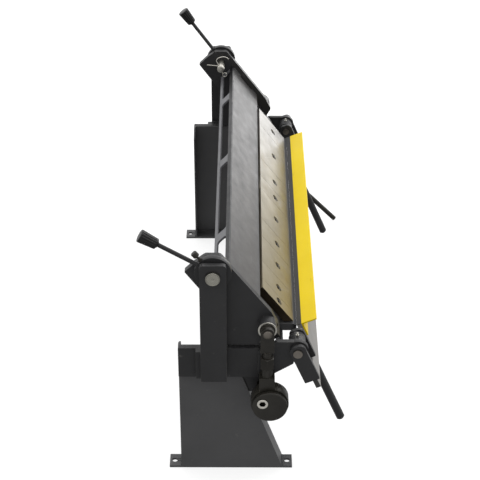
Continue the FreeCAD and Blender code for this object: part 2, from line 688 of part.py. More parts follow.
outer_arm = outer_arm.cut(bar_x(AXIS_F, AXIS_Z, HINGE_PIN_D + 2 * PIN_FIT, arm_out - 1, arm_in + 1))
save_pair(raised(outer_arm), "outer_arm")
inner_arm = plate([
    (AXIS_F - ARM_BACK, AXIS_Z + ARM_TOP, ARM_CROWN_R),
    (AXIS_F + ARM_FRONT, AXIS_Z + ARM_TOP, ARM_CROWN_R),
    (AXIS_F + ARM_FRONT, AXIS_Z - LEAF_UPPER_DEPTH, ARM_CORNER_R),
    (leaf_back, AXIS_Z - LEAF_UPPER_DEPTH),
    (leaf_back, AXIS_Z - ARM_DOWN),
    (AXIS_F - ARM_BACK, AXIS_Z - ARM_DOWN, ARM_CORNER_R),
], inner_out, inner_out + ARM_T)
inner_arm = inner_arm.cut(bar_x(AXIS_F, AXIS_Z, HINGE_PIN_D + 2 * PIN_FIT, inner_out - 1, inner_out + ARM_T + 1))
save_pair(raised(inner_arm), "inner_arm")
hinge_pin = bar_x(AXIS_F, AXIS_Z, HINGE_PIN_D, arm_out, inner_out + ARM_T + HINGE_PIN_TAIL)
hinge_pin = hinge_pin.fuse(
    bar_x(AXIS_F, AXIS_Z, HINGE_PIN_HEAD_D, arm_out - HINGE_PIN_HEAD_T, arm_out)).removeSplitter()
save_pair(hinge_pin, "hinge_pin")
handle_x = row / 2.0 - HANDLE_INSET
handle = Part.makeCylinder(HANDLE_D / 2.0, HANDLE_END - HANDLE_TOP,
                           vec(-handle_x, leaf_back - HANDLE_D / 2.0, AXIS_Z - HANDLE_END))
handle = handle.makeChamfer(HANDLE_CHAMFER, [e for e in handle.Edges if e.BoundBox.ZMax < AXIS_Z - HANDLE_END + 0.1])
save_pair(raised(handle), "handle")
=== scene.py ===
import math
import random

import bmesh
import bpy
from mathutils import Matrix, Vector


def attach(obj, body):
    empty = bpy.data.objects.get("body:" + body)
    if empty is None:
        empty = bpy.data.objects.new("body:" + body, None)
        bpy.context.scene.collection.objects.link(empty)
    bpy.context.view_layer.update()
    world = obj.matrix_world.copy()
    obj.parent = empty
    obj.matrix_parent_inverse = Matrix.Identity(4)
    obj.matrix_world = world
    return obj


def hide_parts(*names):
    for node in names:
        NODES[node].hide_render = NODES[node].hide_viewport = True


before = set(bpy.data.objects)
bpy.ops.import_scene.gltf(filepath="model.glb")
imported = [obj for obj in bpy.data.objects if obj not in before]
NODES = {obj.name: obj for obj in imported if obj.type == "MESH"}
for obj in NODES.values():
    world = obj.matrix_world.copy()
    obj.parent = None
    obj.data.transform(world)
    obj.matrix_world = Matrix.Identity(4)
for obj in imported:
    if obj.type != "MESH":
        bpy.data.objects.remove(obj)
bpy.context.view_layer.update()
random.seed(48)


# The main places of the machine, in millimetres: x along it, f in front of the middle of its
# floor bolts, z above the floor. Angles are in radians.

PIN_F, PIN_Z = -49.0, 758.0     # top pins, on which the clamping beam and the levers turn
AXIS_F, AXIS_Z = 201.0, 485.0   # bending line, on which the apron turns
NOSE_F, NOSE_Z = 192.0, 491.0   # nose of the fingers
BOSS_F, BOSS_Z = 110.0, 570.0   # bosses of the end plates, with the upper pins of the links
END_IN = 712.0                  # inner faces of the end plates
HUB_MID = 746.0                 # middle of the lever hubs
LINK_MID = 782.0                # middle of the links
HANDLE_X = 578.0                # axes of the apron's handles
FINGERS = [50.0, 100.0, 150.0, 110.0, 200.0, 90.0, 130.0, 260.0, 130.0]

SLOPE = math.radians(52.8)      # clamping face, up from the horizontal
FALL = math.radians(46)         # rear flange, down from its root on the front plate
RAISED = math.radians(23)       # apron at rest, up from hanging plumb

PIN_HEAD = 784.8                # outer face of the top pins' heads
PIN_INNER = 690.0               # inner ends of the top pins' solids
CLIP_FROM_TIP = 11.0            # place of the spring clip on the inner end
LINK_PIN_END = 793.8            # outer ends of the links' upper pins
SINK_UP, SINK_DEEP = 72.0, 10.0  # middle of a finger's sink up the face, and its floor behind it


def at(x, f, z):
    return Vector((x / 1000, -f / 1000, z / 1000))


def on_slope(x, up, behind):
    """The point that lies up the clamping face from the finger nose, and behind it."""
    return at(x, NOSE_F - up * math.cos(SLOPE) - behind * math.sin(SLOPE),
              NOSE_Z + up * math.sin(SLOPE) - behind * math.cos(SLOPE))


def on_apron(x, f, z):
    """A point of the apron, given as it hangs plumb and then raised about the bending line."""
    f -= AXIS_F
    z -= AXIS_Z
    return at(x, AXIS_F + f * math.cos(RAISED) - z * math.sin(RAISED),
              AXIS_Z + f * math.sin(RAISED) + z * math.cos(RAISED))


# Camera, floor and light, in metres

CAMERA_PLACE = (-3.950, -0.042, 2.852)
CAMERA_DOWN = math.radians(31.77)
CAMERA_ASIDE = math.radians(0.23)
FOCAL_PIXELS, PHOTO_PIXELS, SENSOR = 1331, 480, 36.0

# Brightness of the sky: below and overhead, and its share behind the camera and beyond the machine
SKY_LOW, SKY_HIGH = 0.3, 1.4
SKY_NEAR, SKY_FAR = 0.55, 1.45

# Name, place, target, width and height, watts
LIGHTS = [
    ("key", (1.6, -2.4, 2.8), (0.1, -0.1, 0.5), (1.8, 1.8), 26),
    ("far_panel", (2.1, -0.8, 0.5), (0.7, -0.05, 0.6), (1.1, 0.8), 6.5),
    ("bounce", (-2.0, 0.0, 0.03), (-0.8, 0.0, 0.7), (1.2, 1.4), 1.9),
]

STUDIO_REACH = 13.0
WALL_LOW, WALL_HIGH = -0.5, 12.0
WALL_SIDES = 32


def aim(thing, place, direction):
    thing.location = place
    thing.rotation_mode = "QUATERNION"
    thing.rotation_quaternion = direction.to_track_quat("-Z", "Y")
    bpy.context.scene.collection.objects.link(thing)


def make_camera():
    data = bpy.data.cameras.new("camera")
    data.sensor_width = SENSOR
    data.lens = FOCAL_PIXELS / PHOTO_PIXELS * SENSOR
    data.clip_end = 60
    camera = bpy.data.objects.new("camera", data)
    aim(camera, CAMERA_PLACE, Vector((
        math.cos(CAMERA_DOWN) * math.cos(CAMERA_ASIDE),
        math.cos(CAMERA_DOWN) * math.sin(CAMERA_ASIDE),
        -math.sin(CAMERA_DOWN))))
    bpy.context.scene.camera = camera


def area_light(name, place, target, size, watts):
    data = bpy.data.lights.new(name, "AREA")
    data.shape = "RECTANGLE"
    data.size, data.size_y = size
    data.energy = watts
    light = bpy.data.objects.new(name, data)
    light.visible_camera = False
    aim(light, place, Vector(target) - Vector(place))


def map_range(tree, value, low, high, out_low, out_high):
    node = tree.nodes.new("ShaderNodeMapRange")
    for name, number in (("From Min", low), ("From Max", high),
                         ("To Min", out_low), ("To Max", out_high)):
        node.inputs[name].default_value = number
    tree.links.new(value, node.inputs["Value"])
    return node.outputs["Result"]


def multiply(tree, a, b):
    node = tree.nodes.new("ShaderNodeMath")
    node.operation = "MULTIPLY"
    tree.links.new(a, node.inputs[0])
    tree.links.new(b, node.inputs[1])
    return node.outputs["Value"]


def make_sky():
    """A white sky that is brighter overhead and beyond the machine."""
    world = bpy.data.worlds.new("studio")
    world.use_nodes = True
    tree = world.node_tree
    split = tree.nodes.new("ShaderNodeSeparateXYZ")
    direction = tree.nodes.new("ShaderNodeTexCoord").outputs["Generated"]
    tree.links.new(direction, split.inputs["Vector"])
    height = map_range(tree, split.outputs["Z"], -0.6, 1.0, SKY_LOW, SKY_HIGH)
    side = map_range(tree, split.outputs["X"], -1.0, 1.0, SKY_NEAR, SKY_FAR)
    background = tree.nodes["Background"]
    background.inputs["Color"].default_value = (1, 1, 1, 1)
    tree.links.new(multiply(tree, height, side), background.inputs["Strength"])
    bpy.context.scene.world = world


def staged(name, corners, faces, glow, albedo):
    """A plain surface of the studio: the camera sees it, and it puts no light on the machine."""
    mesh = bpy.data.meshes.new(name)
    mesh.from_pydata(corners, [], faces)
    piece = bpy.data.objects.new(name, mesh)
    bpy.context.scene.collection.objects.link(piece)
    surface = bpy.data.materials.new(name)
    surface.use_nodes = True
    shader = surface.node_tree.nodes["Principled BSDF"]
    shader.inputs["Base Color"].default_value = (albedo, albedo, albedo, 1)
    shader.inputs["Roughness"].default_value = 0.95
    shader.inputs["Specular IOR Level"].default_value = 0.0
    shader.inputs["Emission Color"].default_value = (1, 1, 1, 1)
    shader.inputs["Emission Strength"].default_value = glow
    mesh.materials.append(surface)
    piece.visible_diffuse = False
    piece.visible_glossy = False
    piece.visible_shadow = False


def make_floor():
    r = STUDIO_REACH
    staged("floor", [(-r, -r, 0), (r, -r, 0), (r, r, 0), (-r, r, 0)], [(0, 1, 2, 3)], 0.74, 0.36)


def make_backdrop():
    """A white drum around and over the floor."""
    n = WALL_SIDES
    turns = [2 * math.pi * k / n for k in range(n)]
    corners = [(STUDIO_REACH * math.cos(turn), STUDIO_REACH * math.sin(turn), z)
               for z in (WALL_LOW, WALL_HIGH) for turn in turns]
    wall = [(k, (k + 1) % n, n + (k + 1) % n, n + k) for k in range(n)]
    staged("backdrop", corners, wall + [tuple(range(n, 2 * n))], 1.0, 0.0)


def make_studio():
    make_sky()
    for light in LIGHTS:
        area_light(*light)
    make_floor()
    make_backdrop()
    bpy.context.scene.view_settings.view_transform = "Standard"


# Materials

def rgb(*parts):
    """A colour as it is seen, in parts of 255, as the linear values of a shader."""
    shares = [part / 255 for part in parts]
    return tuple(c / 12.92 if c <= 0.04045 else ((c + 0.055) / 1.055) ** 2.4
                 for c in shares) + (1.0,)


WORN_PAINT = rgb(112, 110, 106)
UP_LEAF = (0, math.sin(RAISED), math.cos(RAISED))       # up the raised leaf
DOWN_FLANGE = (0, math.cos(FALL), -math.sin(FALL))      # down the rear flange

# In metres: where the leaf ends along UP_LEAF, where the flange starts along DOWN_FLANGE,
# and how far the leaf, the finger row and the shaft reach from the middle
LEAF_TOP = (AXIS_Z * math.cos(RAISED) - AXIS_F * math.sin(RAISED)) / 1000
FLANGE_ROOT = -0.5285
LEAF_END = 0.7566
ROW_END = 0.60915
SHAFT_END = 0.8196

# Every material of the model by its name, filled in by Paint
MATERIALS = {}


class Paint:
    """A material under construction: noises in object coordinates that feed one shader."""

    def __init__(self, name, **values):
        material = MATERIALS[name] = bpy.data.materials.new(name)
        material.use_nodes = True
        self.tree = material.node_tree
        self.shader = self.tree.nodes["Principled BSDF"]
        self.place = self.tree.nodes.new("ShaderNodeTexCoord").outputs["Object"]
        self.normal = None
        for socket, value in values.items():
            self.shader.inputs[socket.replace("_", " ")].default_value = value

    def link(self, a, b):
        self.tree.links.new(a, b)

    def stretched(self, scale):
        node = self.tree.nodes.new("ShaderNodeMapping")
        node.inputs["Scale"].default_value = scale
        self.link(self.place, node.inputs["Vector"])
        return node.outputs["Vector"]

    def noise(self, scale, detail, rough, stretch=None):
        node = self.tree.nodes.new("ShaderNodeTexNoise")
        node.inputs["Scale"].default_value = scale
        node.inputs["Detail"].default_value = detail
        node.inputs["Roughness"].default_value = rough
        self.link(self.stretched(stretch) if stretch else self.place, node.inputs["Vector"])
        return node.outputs["Fac"]

    def ramp(self, value, low, high, out_low=0.0, out_high=1.0):
        return map_range(self.tree, value, low, high, out_low, out_high)

    def from_middle(self):
        """The distance from the middle of the machine along X."""
        node = self.tree.nodes.new("ShaderNodeMath")
        node.operation = "ABSOLUTE"
        self.link(self.along_x(), node.inputs[0])
        return node.outputs["Value"]

    def along_x(self):
        node = self.tree.nodes.new("ShaderNodeSeparateXYZ")
        self.link(self.place, node.inputs["Vector"])
        return node.outputs["X"]

    def dot(self, a, b):
        """The product of a vector output with another, or with fixed numbers."""
        node = self.tree.nodes.new("ShaderNodeVectorMath")
        node.operation = "DOT_PRODUCT"
        self.link(a, node.inputs[0])
        if isinstance(b, tuple):
            node.inputs[1].default_value = b
        else:
            self.link(b, node.inputs[1])
        return node.outputs["Value"]

    def edges(self, radius):
        """High on outer and inner edges, from the turn of the normal over a small radius."""
        bevel = self.tree.nodes.new("ShaderNodeBevel")
        bevel.samples = 6
        bevel.inputs["Radius"].default_value = radius
        flat = self.tree.nodes.new("ShaderNodeNewGeometry").outputs["Normal"]
        return self.ramp(self.dot(bevel.outputs["Normal"], flat), 0.995, 0.86)

    def rubbed(self, radius, scale, low, high, share):
        """Edges worn in patches, up to a share."""
        patches = self.ramp(self.noise(scale, 4.0, 0.6), low, high, 0.0, share)
        return multiply(self.tree, self.edges(radius), patches)

    def mix(self, factor, a, b):
        node = self.tree.nodes.new("ShaderNodeMix")
        node.data_type = "RGBA"
        self.link(factor, node.inputs["Factor"])
        for socket, value in ((node.inputs["A"], a), (node.inputs["B"], b)):
            if isinstance(value, tuple):
                socket.default_value = value
            else:
                self.link(value, socket)
        return node.outputs["Result"]

    def colour(self, value):
        self.link(value, self.shader.inputs["Base Color"])

    def rough(self, value):
        self.link(value, self.shader.inputs["Roughness"])

    def bump(self, value, distance, strength):
        node = self.tree.nodes.new("ShaderNodeBump")
        node.inputs["Distance"].default_value = distance
        node.inputs["Strength"].default_value = strength
        self.link(value, node.inputs["Height"])
        if self.normal is not None:
            self.link(self.normal, node.inputs["Normal"])
        self.normal = node.outputs["Normal"]
        self.link(self.normal, self.shader.inputs["Normal"])


def painted(name, tone, shade, worn=WORN_PAINT, rough=0.42, peel=0.00015, gloss=0.35, wear=0.5,
            band=None, end=None):
    """Baked paint: orange peel, clouded tone, small scuffs, and edges rubbed towards bare metal.

    band is (direction, where it starts, where it is full, colour) for a zone of another colour,
    used for painted shade at the root of the rear flange and a darker top edge on the leaf, and
    end is (distance from the middle along X, colour) for painted shade on the end faces.
    """
    p = Paint(name, IOR=1.5, Specular_IOR_Level=gloss)
    base = p.mix(p.ramp(p.noise(4.0, 4.0, 0.6), 0.35, 0.68), shade, tone)
    if band:
        direction, start, full, colour = band
        base = p.mix(p.ramp(p.dot(p.place, direction), start, full), base, colour)
    if end:
        reach, colour = end
        base = p.mix(p.ramp(p.from_middle(), reach, reach + 0.0003), base, colour)
    scuff = p.ramp(p.noise(1.0, 5.0, 0.62, (9.0, 38.0, 38.0)), 0.66, 0.74, 0.0, 0.35)
    base = p.mix(scuff, base, worn)
    p.colour(p.mix(p.rubbed(0.0022, 34.0, 0.42, 0.62, wear), base, worn))
    p.rough(p.ramp(p.noise(22.0, 5.0, 0.65), 0.3, 0.75, rough - 0.07, rough + 0.1))
    p.bump(p.noise(420.0, 2.0, 0.5), peel, 0.6)
    p.bump(p.noise(7.0, 2.0, 0.5), 0.0002, 0.5)


def bare_steel(name, tone, shade, rough):
    """Metal with a fine machined grain and a light clouding."""
    p = Paint(name, Metallic=1.0)
    grain = p.noise(1.0, 4.0, 0.6, (300, 300, 300))
    p.colour(p.mix(p.ramp(p.noise(9.0, 4.0, 0.6), 0.35, 0.7), shade, tone))
    p.rough(p.ramp(grain, 0.3, 0.7, rough - 0.08, rough + 0.1))
    p.bump(grain, 0.00004, 0.5)


def ground_finger(name):
    """Ground steel: grinding lines, stains, and a painted warm reflection at the near (-X) end."""
    p = Paint(name, Metallic=1.0)
    lines = p.noise(1.0, 4.0, 0.65, (12.0, 1100.0, 1100.0))
    contrast = p.ramp(lines, 0.3, 0.7)
    plain_tone = p.mix(contrast, rgb(134, 132, 129), rgb(147, 145, 141))
    # Painted reflection: a warmer, lighter tint that grows towards the near (-X) end of the row
    warm_reflection_tint = p.mix(contrast, rgb(143, 134, 111), rgb(158, 149, 127))
    base = p.mix(p.ramp(p.along_x(), -0.62, 0.55), warm_reflection_tint, plain_tone)
    stain = p.ramp(p.noise(13.0, 5.0, 0.6), 0.55, 0.78, 0.0, 0.45)
    base = p.mix(stain, base, rgb(128, 114, 88))
    p.colour(p.mix(p.ramp(p.from_middle(), ROW_END, ROW_END + 0.0003), base, rgb(84, 74, 60)))
    p.rough(p.ramp(p.noise(17.0, 4.0, 0.6), 0.3, 0.72, 0.34, 0.5))
    p.bump(lines, 0.00003, 0.5)


def turned_shaft(name):
    """Bright turned end faces; the rest of the shaft is dark, which in its sockets is painted
    shade.
    """
    p = Paint(name, Metallic=1.0)
    # Dark colour for all but the end faces; in the hex sockets it is painted shade
    dark_and_socket_shade = p.mix(p.ramp(p.noise(14.0, 4.0, 0.6), 0.35, 0.7), rgb(44, 41, 36), rgb(66, 62, 55))
    end = p.ramp(p.from_middle(), SHAFT_END, SHAFT_END + 0.0006)
    p.colour(p.mix(end, dark_and_socket_shade, rgb(222, 219, 210)))
    p.rough(p.ramp(p.noise(30.0, 4.0, 0.6), 0.3, 0.72, 0.28, 0.42))
    p.bump(p.noise(1.0, 3.0, 0.6, (900, 60, 60)), 0.00004, 0.5)


def turned_black(name, tone, shade):
    """Black oxide on turned steel: brown-black clouding, oil sheen, fine turning marks."""
    p = Paint(name, Metallic=0.25, Specular_IOR_Level=0.4)
    base = p.mix(p.ramp(p.noise(11.0, 5.0, 0.62), 0.34, 0.7), shade, tone)
    p.colour(p.mix(p.rubbed(0.0016, 40.0, 0.4, 0.6, 0.7), base, rgb(120, 114, 104)))
    p.rough(p.ramp(p.noise(26.0, 5.0, 0.65), 0.3, 0.72, 0.3, 0.48))
    p.bump(p.noise(900.0, 2.0, 0.5), 0.00004, 0.5)


def moulded(name, tone, shade):
    """Glossy moulded plastic with a faint texture and finger smears."""
    p = Paint(name, IOR=1.5, Specular_IOR_Level=0.34)
    p.colour(p.mix(p.ramp(p.noise(30.0, 4.0, 0.6), 0.35, 0.7), shade, tone))
    p.rough(p.ramp(p.noise(45.0, 5.0, 0.65), 0.3, 0.72, 0.16, 0.34))
    p.bump(p.noise(600.0, 2.0, 0.5), 0.00005, 0.5)


def make_materials():
    painted("frame_grey", rgb(82, 82, 83), rgb(74, 74, 75))
    painted("frame_dark", rgb(51, 51, 52), rgb(44, 44, 45), rough=0.4, gloss=0.28)
    painted("light_grey_face", rgb(80, 79, 79), rgb(73, 72, 72), rgb(132, 130, 126),
            rough=0.4, gloss=0.32)
    # Leaf: the dark colour on its end faces is painted shade; its top edge is a darker band
    painted("leaf_grey", rgb(152, 150, 146), rgb(143, 141, 138), rgb(174, 171, 166), wear=0.12,
            band=(UP_LEAF, LEAF_TOP - 0.0022, LEAF_TOP - 0.0016, rgb(50, 49, 48)),
            end=(LEAF_END, rgb(60, 59, 58)))
    # Rear flange: the near-black band along its root on the front plate is painted shade
    painted("flange_grey", rgb(108, 108, 111), rgb(100, 100, 103),
            band=(DOWN_FLANGE, FLANGE_ROOT + 0.0125, FLANGE_ROOT + 0.0105, rgb(34, 34, 36)))
    painted("strip_dark", rgb(44, 44, 46), rgb(38, 38, 40), gloss=0.2, wear=0.03)
    painted("safety_yellow", rgb(242, 213, 6), rgb(235, 204, 5), rgb(120, 104, 60),
            rough=0.36, peel=0.0002, gloss=0.22, wear=0.35)
    ground_finger("ground_steel")
    bare_steel("zinc_steel", rgb(212, 209, 200), rgb(180, 178, 170), 0.34)
    bare_steel("pin_steel", rgb(178, 176, 166), rgb(150, 148, 139), 0.27)
    bare_steel("dull_steel", rgb(136, 130, 123), rgb(112, 107, 100), 0.36)
    turned_shaft("shaft_steel")
    turned_black("oiled_black", rgb(50, 48, 43), rgb(36, 34, 30))
    moulded("grip_black", rgb(20, 20, 21), rgb(10, 10, 11))


# Materials and rounded edges of the solids. A node takes the first row that its name ends with.

MATERIAL_OF = {
    "beam_rear_flange": "flange_grey",
    "beam_front_plate": "light_grey_face",
    "beam_finger_seat": "frame_dark",
    "apron_leaf": "leaf_grey",
    "apron_angle": "safety_yellow",
    "clamp_shaft": "shaft_steel",
    "hinge_pin": "dull_steel",
    "pin": "pin_steel",
    "link": "oiled_black", "eccentric": "oiled_black", "nut": "oiled_black",
    "clamp_rod": "oiled_black",
    "end_plate": "frame_dark", "hinge_bracket": "frame_dark", "column": "frame_dark",
    "lever": "frame_dark", "arm": "frame_dark", "bearing": "frame_dark",
    "side_bracket": "frame_dark", "handle": "frame_dark",
}
BEVEL_OF = {
    "stand": 2.2, "foot": 0.9, "side_bracket": 1.4, "column": 1.4, "top_pin": 2.8,
    "hinge_bracket": 1.6, "end_plate": 1.4, "link": 1.5, "eccentric": 0.8, "nut": 0.8,
    "bearing": 1.2, "lever": 1.6, "outer_arm": 1.5, "inner_arm": 1.2, "hinge_pin": 1.2,
    "handle": 1.2, "clamp_rod": 1.6, "clamp_shaft": 1.6, "apron_angle": 1.2,
    "apron_leaf": 0.3, "bed_plate": 1.6,
}
FINGER_MATERIAL, FINGER_BEVEL = "ground_steel", 0.25
OTHER_MATERIAL, OTHER_BEVEL = "frame_grey", 1.0


def look_up(table, node, finger, other):
    if node.startswith("finger_"):
        return finger
    for name, entry in table.items():
        if node == name or node.endswith("_" + name):
            return entry
    return other


def round_edges(piece, width):
    """Edges rounded by width millimetres, with the flat faces kept flat in shading."""
    weld = piece.modifiers.new("weld", "WELD")
    weld.merge_threshold = 0.00001
    bevel = piece.modifiers.new("bevel", "BEVEL")
    bevel.width = width / 1000
    bevel.segments = 2
    bevel.limit_method = "ANGLE"
    bevel.angle_limit = math.radians(34)
    bevel.use_clamp_overlap = True
    bevel.harden_normals = True


def dress_cad():
    for name, node in NODES.items():
        material = MATERIALS[look_up(MATERIAL_OF, name, FINGER_MATERIAL, OTHER_MATERIAL)]
        for slot in node.material_slots:
            slot.material = material
        round_edges(node, look_up(BEVEL_OF, name, FINGER_BEVEL, OTHER_BEVEL))


# Shapes of the detail pieces

def share(value):
    return min(1.0, max(0.0, value))


def wave(turn, count):
    """Runs from 0 to 1 and back, count times around."""
    return 0.5 - 0.5 * math.cos(count * turn)


def hexagon(across):
    """Distance from the axis to the side of a hexagon, for an angle from one of its corners."""
    return lambda turn: across / 2 / math.cos(turn % (math.pi / 3) - math.pi / 6)


def arc(centre, wide, tall, first, step, count):
    """Points around a centre, from the angle first in steps, in degrees."""
    turns = [math.radians(first + step * k) for k in range(count)]
    return [(centre[0] + wide * math.cos(turn), centre[1] + tall * math.sin(turn))
            for turn in turns]


def smooth_path(points, steps):
    """A Catmull-Rom path through the points."""
    path = []
    last = len(points) - 1
    for k in range(last):
        a, b, c, d = points[max(k - 1, 0)], points[k], points[k + 1], points[min(k + 2, last)]
        for n in range(steps):
            t = n / steps
            path.append(0.5 * ((2 * b) + (c - a) * t + (2 * a - 5 * b + 4 * c - d) * t * t
                               + (3 * b - a - 3 * c + d) * t ** 3))
    path.append(points[-1])
    return path


def axes_about(direction):
    along = Vector(direction).normalized()
    side = Vector((1, 0, 0)) if abs(along.x) < 0.9 else Vector((0, 0, 1))
    side = (side - along * side.dot(along)).normalized()
    return side, along.cross(side), along


def stitch(bm, low, high):
    """Faces between two rings, or a fan where one of them is a single point."""
    if len(low) == 1 and len(high) == 1:
        return
    count = max(len(low), len(high))
    for k in range(count):
        n = (k + 1) % count
        if len(low) == 1:
            bm.faces.new((low[0], high[n], high[k]))
        elif len(high) == 1:
            bm.faces.new((low[k], low[n], high[0]))
        else:
            bm.faces.new((low[k], low[n], high[n], high[k]))


def lathe(bm, base, direction, profile, segments, shape=None, closed=False):
    """A turned body from (radius, height) pairs in millimetres, pointed where the radius is 0.

    shape changes the radius by (turn, height, radius), and closed joins the last pair to the first.
    """
    side, other, along = axes_about(direction)
    rings = []
    for radius, height in profile:
        centre = base + along * height / 1000
        if radius == 0:
            rings.append([bm.verts.new(centre)])
            continue
        ring = []
        for k in range(segments):
            turn = 2 * math.pi * k / segments
            r = (shape(turn, height, radius) if shape else radius) / 1000
            ring.append(bm.verts.new(centre + (side * math.cos(turn) + other * math.sin(turn)) * r))
        rings.append(ring)
    for low, high in zip(rings, rings[1:]):
        stitch(bm, low, high)
    if closed:
        stitch(bm, rings[-1], rings[0])


def tube(bm, points, radii, segments=10):
    """A round bar along points, with a radius in millimetres for each of them."""
    rings = []
    side = None
    for k, point in enumerate(points):
        ahead = (points[min(k + 1, len(points) - 1)] - points[max(k - 1, 0)]).normalized()
        if side is None:
            side = axes_about(ahead)[0]
        side = (side - ahead * side.dot(ahead)).normalized()
        other = ahead.cross(side)
        turns = [2 * math.pi * n / segments for n in range(segments)]
        rings.append([bm.verts.new(point + (side * math.cos(turn) + other * math.sin(turn))
                                   * radii[k] / 1000) for turn in turns])
    for low, high in zip(rings, rings[1:]):
        stitch(bm, low, high)
    stitch(bm, [bm.verts.new(points[0])], rings[0])
    stitch(bm, rings[-1], [bm.verts.new(points[-1])])


def bead(bm, start, end, radius, pitch=3.6):
    """A weld bead: a bar whose thickness runs in ripples, with uneven steps and tapered ends."""
    length = (end - start).length * 1000
    steps = max(8, int(length / pitch * 4))
    taper = 2.5
    points, radii = [], []
    for k in range(steps + 1):
        t = k / steps
        drift = 0.9 * math.sin(t * length / 17)
        ripple = 0.5 + 0.5 * math.sin(2 * math.pi * (t * length / pitch) + drift)
        ends = min(1.0, t * length / taper, (1 - t) * length / taper)
        points.append(start.lerp(end, t))
        radii.append(radius * (0.86 + 0.14 * ripple + random.uniform(-0.03, 0.03))
                     * (0.45 + 0.55 * ends))
    tube(bm, points, radii)


def washer(bm, x, centre, inner, outer, thick, outward):
    """A flat ring on an axis along X; x is its inner face and outward is +1 or -1."""
    edge = 0.6
    lathe(bm, at(x, *centre), (outward, 0, 0), [
        (inner, 0), (outer - edge, 0), (outer, edge), (outer, thick - edge),
        (outer - edge, thick), (inner, thick)], 40, closed=True)


def new_piece(name, bm, body, slot, material=None, sharp=35):
    bmesh.ops.remove_doubles(bm, verts=bm.verts, dist=1e-7)
    bmesh.ops.recalc_face_normals(bm, faces=bm.faces)
    mesh = bpy.data.meshes.new(name)
    bm.to_mesh(mesh)
    bm.free()
    mesh.shade_smooth()
    mesh.set_sharp_from_angle(angle=math.radians(sharp))
    mesh.materials.append(MATERIALS[material or slot])
    piece = bpy.data.objects.new(name, mesh)
    bpy.context.scene.collection.objects.link(piece)
    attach(piece, body)
    return piece


# Detail pieces. side is left or right, and sign is -1 or 1.

def from_hub(sign, angle, reach):
    """A direction square to the top pin, and the point at that reach from its axis."""
    angle = math.radians(angle)
    direction = Vector((0, math.cos(angle), math.sin(angle)))
    return direction, at(sign * HUB_MID, PIN_F, PIN_Z) + direction * reach / 1000


def make_grip(side, sign, angle):
    """A moulded grip: a neck, a tapered body with soft flutes and a domed end."""
    direction, base = from_hub(sign, angle, 184)
    flutes, run_in, low, high = 14, 5, 3.5, 55.5

    def flute(turn, height, radius):
        fade = share((height - low) / run_in) * share((high - height) / run_in)
        return radius * (1 - 0.085 * fade * wave(turn, flutes) ** 2.2)

    neck = [(6.6, -2.5), (9.2, -2.5), (9.8, -1.9), (9.8, 0.6), (13.2, 0.7), (15.2, 1.4),
            (16.0, 2.3)]
    body = [(16.4 + 3.5 * t, low + 50.5 * t) for t in [k / 22 for k in range(23)]]
    dome = [(19.6, 55.3), (18.6, 56.5), (16.6, 57.2), (12.0, 57.7), (6.0, 57.95), (0, 58.0)]
    bm = bmesh.new()
    lathe(bm, base, direction, neck + body + dome, 168, flute)
    piece = new_piece(side + "_grip_moulded", bm, side + "_lever", "grip_black", sharp=50)
    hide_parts(side + "_grip")


def make_hub_screw():
    """The set screw of the near hub: a stem with a nut and a round knurled head."""
    direction, base = from_hub(-1, 50, 52.5)
    flat = hexagon(13)
    pitch, knurls = 1.25, 28

    def six_sided(turn, height, radius):
        return min(flat(turn), radius + 0.7) if radius > 6 else radius

    def threaded(turn, height, radius):
        return radius * (1 + 0.05 * math.sin(turn + height * 2 * math.pi / pitch))

    def knurled(turn, height, radius):
        return radius * (1 - 0.05 * wave(turn, knurls)) if radius > 9 else radius

    nut = [(6, 0), (6, 1), (6.6, 1.2), (7, 2), (7, 7), (6.6, 7.8), (4, 8)]
    stem = [(3.6, 6), (3.6, 19)]
    head = [(3, 18), (8.2, 18), (9.4, 19), (9.6, 20.2), (9.6, 31.2), (9.2, 32.6), (8.0, 33.6),
            (5.0, 34.1), (0, 34.3)]
    bm = bmesh.new()
    lathe(bm, base, direction, nut, 48, six_sided)
    lathe(bm, base, direction, stem, 24, threaded)
    lathe(bm, base, direction, head, 84, knurled)
    new_piece("left_hub_screw", bm, "left_lever", "oiled_black")


def make_pin_face(side, sign):
    """The turned face of the top pin's head: a round rim, a shallow dish and a centre mark."""
    rim = arc((20.0, 0.1), 1.5, 1.5, 0, 18, 11)
    dish = [(18.3, 0.5), (10.0, 0.4), (2.4, 0.4), (1.8, 0.1), (0, -0.1)]
    bm = bmesh.new()
    lathe(bm, at(sign * PIN_HEAD, PIN_F, PIN_Z), (sign, 0, 0), [(0, 0), (21.0, 0)] + rim + dish, 72)
    new_piece(side + "_top_pin_face", bm, "frame", "zinc_steel", "pin_steel", 40)


# The inner ends of the top pins. reach is how far they go in past the pin's solid. The clip's wire
# is given about the pin's axis, forward and up: its bent leg, its ring (centre, radius, first angle
# and step in degrees), and its straight leg.
PIN_TAILS = {
    "left": {
        "reach": 22.0,
        "bent": [(-27, -22), (-22, -17.5), (-16, -17), (-9, -20.5), (0, -22), (9, -20.5),
                 (15, -16.5)],
        "ring": ((24.0, -6.0), 7.0, 215, 36),
        "straight": [(14, 2.5), (4, 2), (-12, 0), (-28, -2), (-52, -5)],
    },
    "right": {
        "reach": 40.0,
        "bent": [(29, 38), (24, 43), (15, 46.5), (4, 46.5), (-8, 42), (-15.5, 34), (-15, 27),
                 (-8, 14), (0, 0), (5, -9)],
        "ring": ((15.0, -27.0), 8.0, 160, -36),
        "straight": [(6, -8), (-3, 3), (-12, 8), (-28, 10), (-52, 12.5)],
    },
}


def make_pin_tail(side, sign):
    """The inner end of the top pin, turned down at its tip and centre-drilled."""
    tip = PIN_TAILS[side]["reach"]
    bm = bmesh.new()
    lathe(bm, at(sign * PIN_INNER, PIN_F, PIN_Z), (-sign, 0, 0), [
        (0, 0), (13.5, 0), (13.5, tip - 2.4), (12.9, tip - 0.8), (11.6, tip), (3, tip),
        (2.2, tip - 1.4), (0, tip - 1.8)], 64)
    new_piece(side + "_top_pin_tail", bm, "frame", "zinc_steel")


